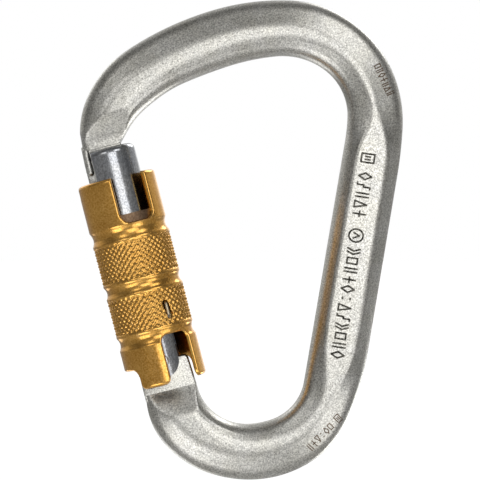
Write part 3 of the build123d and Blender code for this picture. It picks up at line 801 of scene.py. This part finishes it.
def build_sleeve():
    """Outer and inner sheets on one grid, opened at the slots and joined along every edge."""
    heights = sleeve_rows()
    columns = KNURL_COUNT * KNURL_STEPS
    angles = np.arange(columns) * 2 * pi / columns
    height, angle = np.meshgrid(heights, angles, indexing="ij")
    rows = len(heights)
    quads = np.array(sheet_faces(rows, columns, closed=True))
    corner_angle = angle.reshape(-1)[quads]
    corner_angle = np.where(corner_angle - corner_angle[:, :1] < -pi,
                            corner_angle + 2 * pi, corner_angle)
    corner_angle = np.where(corner_angle - corner_angle[:, :1] > pi,
                            corner_angle - 2 * pi, corner_angle)
    solid = openings(corner_angle.mean(axis=1), height.reshape(-1)[quads].mean(axis=1)) > 0
    angle, height = angle.reshape(-1), height.reshape(-1)
    kept, cut = quads[solid], quads[~solid]
    edge = np.intersect1d(kept, cut)
    held = np.isin(height[edge], (heights[0], heights[-1]))
    nudge = 0.02
    for _ in range(4):
        away = openings(angle[edge], height[edge])
        slope_a = (openings(angle[edge] + nudge / SLEEVE_RADIUS, height[edge]) - away) / nudge
        slope_h = (openings(angle[edge], height[edge] + nudge) - away) / nudge
        slope_h[held] = 0
        steep = np.maximum(slope_a ** 2 + slope_h ** 2, 0.25)
        move = np.clip(away / steep, -0.2, 0.2)
        angle[edge] -= move * slope_a / SLEEVE_RADIUS
        height[edge] -= move * slope_h
    near = np.clip(EDGE_EASE - openings(angle, height), 0, EDGE_EASE)
    ease = EDGE_EASE - np.sqrt(EDGE_EASE ** 2 - near ** 2)
    outer = turned_radius(height) - knurl_drop(angle, height) - ease
    inner = np.where(height < LIP[0], SKIRT_BORE,
                     np.where(height < LIP[1], LIP_RADIUS, SLEEVE_BORE))
    outward = (GATE_IN * np.sin(angle)[:, None] + FRONT * np.cos(angle)[:, None])
    base = HINGE + GATE_UP * height[:, None]
    points = np.vstack((base + outward * outer[:, None], base + outward * inner[:, None]))
    count = rows * columns
    faces = [tuple(face) for face in kept] + [tuple(face[::-1] + count) for face in kept]
    walls = {}
    for face in kept:
        for start, end in zip(face, np.roll(face, -1)):
            if walls.pop((end, start), None) is None:
                walls[(start, end)] = True
    skins = len(faces)
    faces += [(start, start + count, end + count, end) for start, end in walls]
    used = np.unique(np.concatenate([np.array(face) for face in faces]))
    renumber = np.zeros(2 * count, int)
    renumber[used] = np.arange(len(used))
    faces = [tuple(int(renumber[corner]) for corner in face) for face in faces]
    return points[used], faces, [0] * skins + [1] * (len(faces) - skins)


sleeve_points, sleeve_quads, sleeve_slots = build_sleeve()
add_mesh("knurled_sleeve", sleeve_points, sleeve_quads, [GOLD, GOLD_CUT], "sleeve_body",
         ["sleeve"], face_slots=sleeve_slots, sharp=radians(50))

# ---------------------------------------------------------------- springs
GATE_SPRING = {"radius": 1.7, "wire": 0.35, "start": 0, "low": 11.9, "high": 25.6, "turns": 9}
SLEEVE_SPRING = {"radius": 7.55, "wire": 0.45, "start": 30, "low": 13.9, "high": 31.1, "turns": 6}
LEG_REACH = 9.2             # radius at which the sleeve spring's leg turns down its slot
LEG_BEND = 0.5              # radius of that turn
LEG_DROP = 3.0              # and height from the coil's foot to the leg's end
WIRE_SIDES = 10
TURN_STEPS = 28             # mesh steps along one turn


def on_axis(angle, radius, height):
    """Point round the gate's axis, its angle from the front towards the gate's inner side."""
    return HINGE + GATE_UP * height + (GATE_IN * sin(angle) + FRONT * cos(angle)) * radius


def wire_mesh(path, radius, beside):
    """Closed round wire along a path that never runs along the direction beside it."""
    path = np.array(path)
    ahead = np.gradient(path, axis=0)
    first = np.cross(ahead, beside)
    first /= np.linalg.norm(first, axis=1)[:, None]
    second = np.cross(ahead, first)
    second /= np.linalg.norm(second, axis=1)[:, None]
    turns = np.arange(WIRE_SIDES) * 2 * pi / WIRE_SIDES
    rings = (path[:, None] + radius * np.cos(turns)[None, :, None] * first[:, None]
             + radius * np.sin(turns)[None, :, None] * second[:, None])
    rows, columns = rings.shape[:2]
    faces = sheet_faces(rows, columns, closed=True)
    faces += [tuple(range(columns - 1, -1, -1)), tuple(range((rows - 1) * columns, rows * columns))]
    return rings.reshape(-1, 3), faces


def coil(name, spring, body, node):
    """Coil of round wire from a spring's low to its high height, in place of its node, riding on a
    body.
    """
    start, turns, low, rise = (radians(spring["start"]), spring["turns"], spring["low"],
                               spring["high"] - spring["low"])
    path = [on_axis(start + 2 * pi * turns * part, spring["radius"], low + rise * part)
            for part in np.linspace(0, 1, turns * TURN_STEPS + 1)]
    points, faces = wire_mesh(path, spring["wire"], GATE_UP)
    piece = add_mesh(name, points, faces, [SPRING], body, [node])
    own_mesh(piece)


coil("gate_coil", GATE_SPRING, "gate_body", "gate_spring")
coil("sleeve_coil", SLEEVE_SPRING, "sleeve_body", "sleeve_spring")
leg_angle = radians(SLEEVE_SPRING["start"])
leg_top = SLEEVE_SPRING["low"]
leg_path = ([on_axis(leg_angle, radius, leg_top)
             for radius in np.linspace(SLEEVE_SPRING["radius"], LEG_REACH - LEG_BEND, 4)]
            + [on_axis(leg_angle, LEG_REACH - LEG_BEND + LEG_BEND * sin(turn),
                       leg_top - LEG_BEND + LEG_BEND * cos(turn))
               for turn in np.linspace(pi / 8, pi / 2, 4)]
            + [on_axis(leg_angle, LEG_REACH, leg_top - drop)
               for drop in np.linspace(0.8, LEG_DROP, 5)])
leg_points, leg_faces = wire_mesh(leg_path, SLEEVE_SPRING["wire"],
                                  GATE_IN * cos(leg_angle) - FRONT * sin(leg_angle))
add_mesh("sleeve_spring_leg", leg_points, leg_faces, [SPRING], "sleeve_body")

# ---------------------------------------------------------------- floor, light and camera
CAMERA_AIM = Vector((-9.0, 0.0, -45.9)) * MM
VIEW_WIDTH = 0.120
CAMERA_DISTANCE = 0.60
SENSOR = 36.0

LIGHT_DISTANCE = 0.45
# angle off the axis, direction, size, brightness and share of it for the light's twin behind
LIGHTS = {"face": (10, 14, 0.26, 1.85, 0.3), "upper_right": (46, 56, 0.20, 2.1, 1.6),
          "lower_left": (46, -123, 0.22, 2.3, 0.6), "lower_right": (46, -38, 0.22, 1.75, 1.7),
          "upper_left": (40, 138, 0.14, 1.6, 0.8), "under": (46, -90, 0.18, 0.6, 0.3)}
FLOOR_HEIGHT = -0.42        # well below the hanging object
FLOOR_REACH = 40.0
FLOOR_GLOW = 0.12           # what the floor sends to the object
FLOOR_SEEN = 0.85           # and to the camera
# greys of the surroundings from before the object to behind it: bright, dim beside it and
# softer behind, as two paper walls leave them
WALL_GREYS = ((0.0, 0.62), (0.12, 0.36), (0.35, 0.18), (0.54, 0.26), (0.68, 0.58), (1.0, 0.74))
WALL_BLUE = 0.985           # their blue as a share of their red and green

camera_data = bpy.data.cameras.new("camera")
camera_data.sensor_width = SENSOR
camera_data.lens = SENSOR * CAMERA_DISTANCE / VIEW_WIDTH
camera = bpy.data.objects.new("camera", camera_data)
camera.location = CAMERA_AIM - Vector((0, CAMERA_DISTANCE, 0))
camera.rotation_euler = (radians(90), 0, 0)
bpy.context.scene.collection.objects.link(camera)
bpy.context.scene.camera = camera


def softbox(name, off_axis, around, size, glow, back):
    """Square area light that the pad faces at some angle off the camera's axis.

    around is its direction as the camera sees it, 0 to the right and 90 up, and glow its
    brightness. back sets the same light behind the object, for its other face.
    """
    tilt, turn = radians(off_axis), radians(around)
    direction = Vector((sin(tilt) * cos(turn), cos(tilt) * back, sin(tilt) * sin(turn)))
    data = bpy.data.lights.new(name, "AREA")
    data.size = size
    data.energy = glow * pi * size ** 2
    light = bpy.data.objects.new(name, data)
    light.location = CAMERA_AIM + direction * LIGHT_DISTANCE
    light.rotation_euler = direction.to_track_quat("Z", "Y").to_euler()
    light.visible_camera = False
    bpy.context.scene.collection.objects.link(light)


for light_name, (off_axis, around, size, glow, share) in LIGHTS.items():
    softbox(f"{light_name}_front", off_axis, around, size, glow, back=-1)
    softbox(f"{light_name}_back", off_axis, around, size, glow * share, back=1)

floor_mesh = bpy.data.meshes.new("floor")
floor_mesh.from_pydata([(-FLOOR_REACH, -FLOOR_REACH, FLOOR_HEIGHT),
                        (FLOOR_REACH, -FLOOR_REACH, FLOOR_HEIGHT),
                        (FLOOR_REACH, FLOOR_REACH, FLOOR_HEIGHT),
                        (-FLOOR_REACH, FLOOR_REACH, FLOOR_HEIGHT)], [], [(0, 1, 2, 3)])
floor = bpy.data.objects.new("floor", floor_mesh)
floor_material = bpy.data.materials.new("floor_pale")
floor_tree, floor_shader, floor_add = nodes_of(floor_material)
floor_place = floor_add("TexCoord").outputs["Object"]
floor_grain = floor_add("TexNoise", {"Vector": floor_place, "Scale": 900}).outputs["Fac"]
floor_tree.links.new(ramp(floor_add, floor_grain, [(0.3, 0.48), (0.7, 0.52)]),
                     floor_shader.inputs["Base Color"])
floor_shader.inputs["Roughness"].default_value = 0.9
floor_shader.inputs["Emission Color"].default_value = (1, 1, 1, 1)
floor_seen = floor_add("LightPath").outputs["Is Camera Ray"]
floor_glow = floor_add("MapRange", {"Value": floor_seen, "To Min": FLOOR_GLOW,
                                  "To Max": FLOOR_SEEN})
floor_tree.links.new(floor_glow.outputs["Result"], floor_shader.inputs["Emission Strength"])
floor_mesh.materials.append(floor_material)
bpy.context.scene.collection.objects.link(floor)

world = bpy.data.worlds.new("studio")
bpy.context.scene.world = world
world.use_nodes = True
tree = world.node_tree
tree.nodes.clear()
output = tree.nodes.new("ShaderNodeOutputWorld")
place = tree.nodes.new("ShaderNodeTexCoord")
parts = tree.nodes.new("ShaderNodeSeparateXYZ")
depth = tree.nodes.new("ShaderNodeMapRange")
depth.inputs["From Min"].default_value = -1.0
walls = tree.nodes.new("ShaderNodeValToRGB")
wall_stops = walls.color_ramp.elements
for position, _ in WALL_GREYS[1:-1]:
    wall_stops.new(position)
for stop, (_, grey) in zip(wall_stops, WALL_GREYS):
    stop.color = (grey, grey, WALL_BLUE * grey, 1)
tree.links.new(place.outputs["Generated"], parts.inputs["Vector"])
tree.links.new(parts.outputs["Y"], depth.inputs["Value"])
tree.links.new(depth.outputs["Result"], walls.inputs["Fac"])
reflected = tree.nodes.new("ShaderNodeBackground")
tree.links.new(walls.outputs["Color"], reflected.inputs["Color"])
seen = tree.nodes.new("ShaderNodeBackground")
seen.inputs["Color"].default_value = (1, 1, 1, 1)
mix = tree.nodes.new("ShaderNodeMixShader")
path = tree.nodes.new("ShaderNodeLightPath")
tree.links.new(path.outputs["Is Camera Ray"], mix.inputs["Fac"])
tree.links.new(reflected.outputs["Background"], mix.inputs[1])
tree.links.new(seen.outputs["Background"], mix.inputs[2])
tree.links.new(mix.outputs["Shader"], output.inputs["Surface"])

bpy.context.scene.view_settings.view_transform = "Standard"
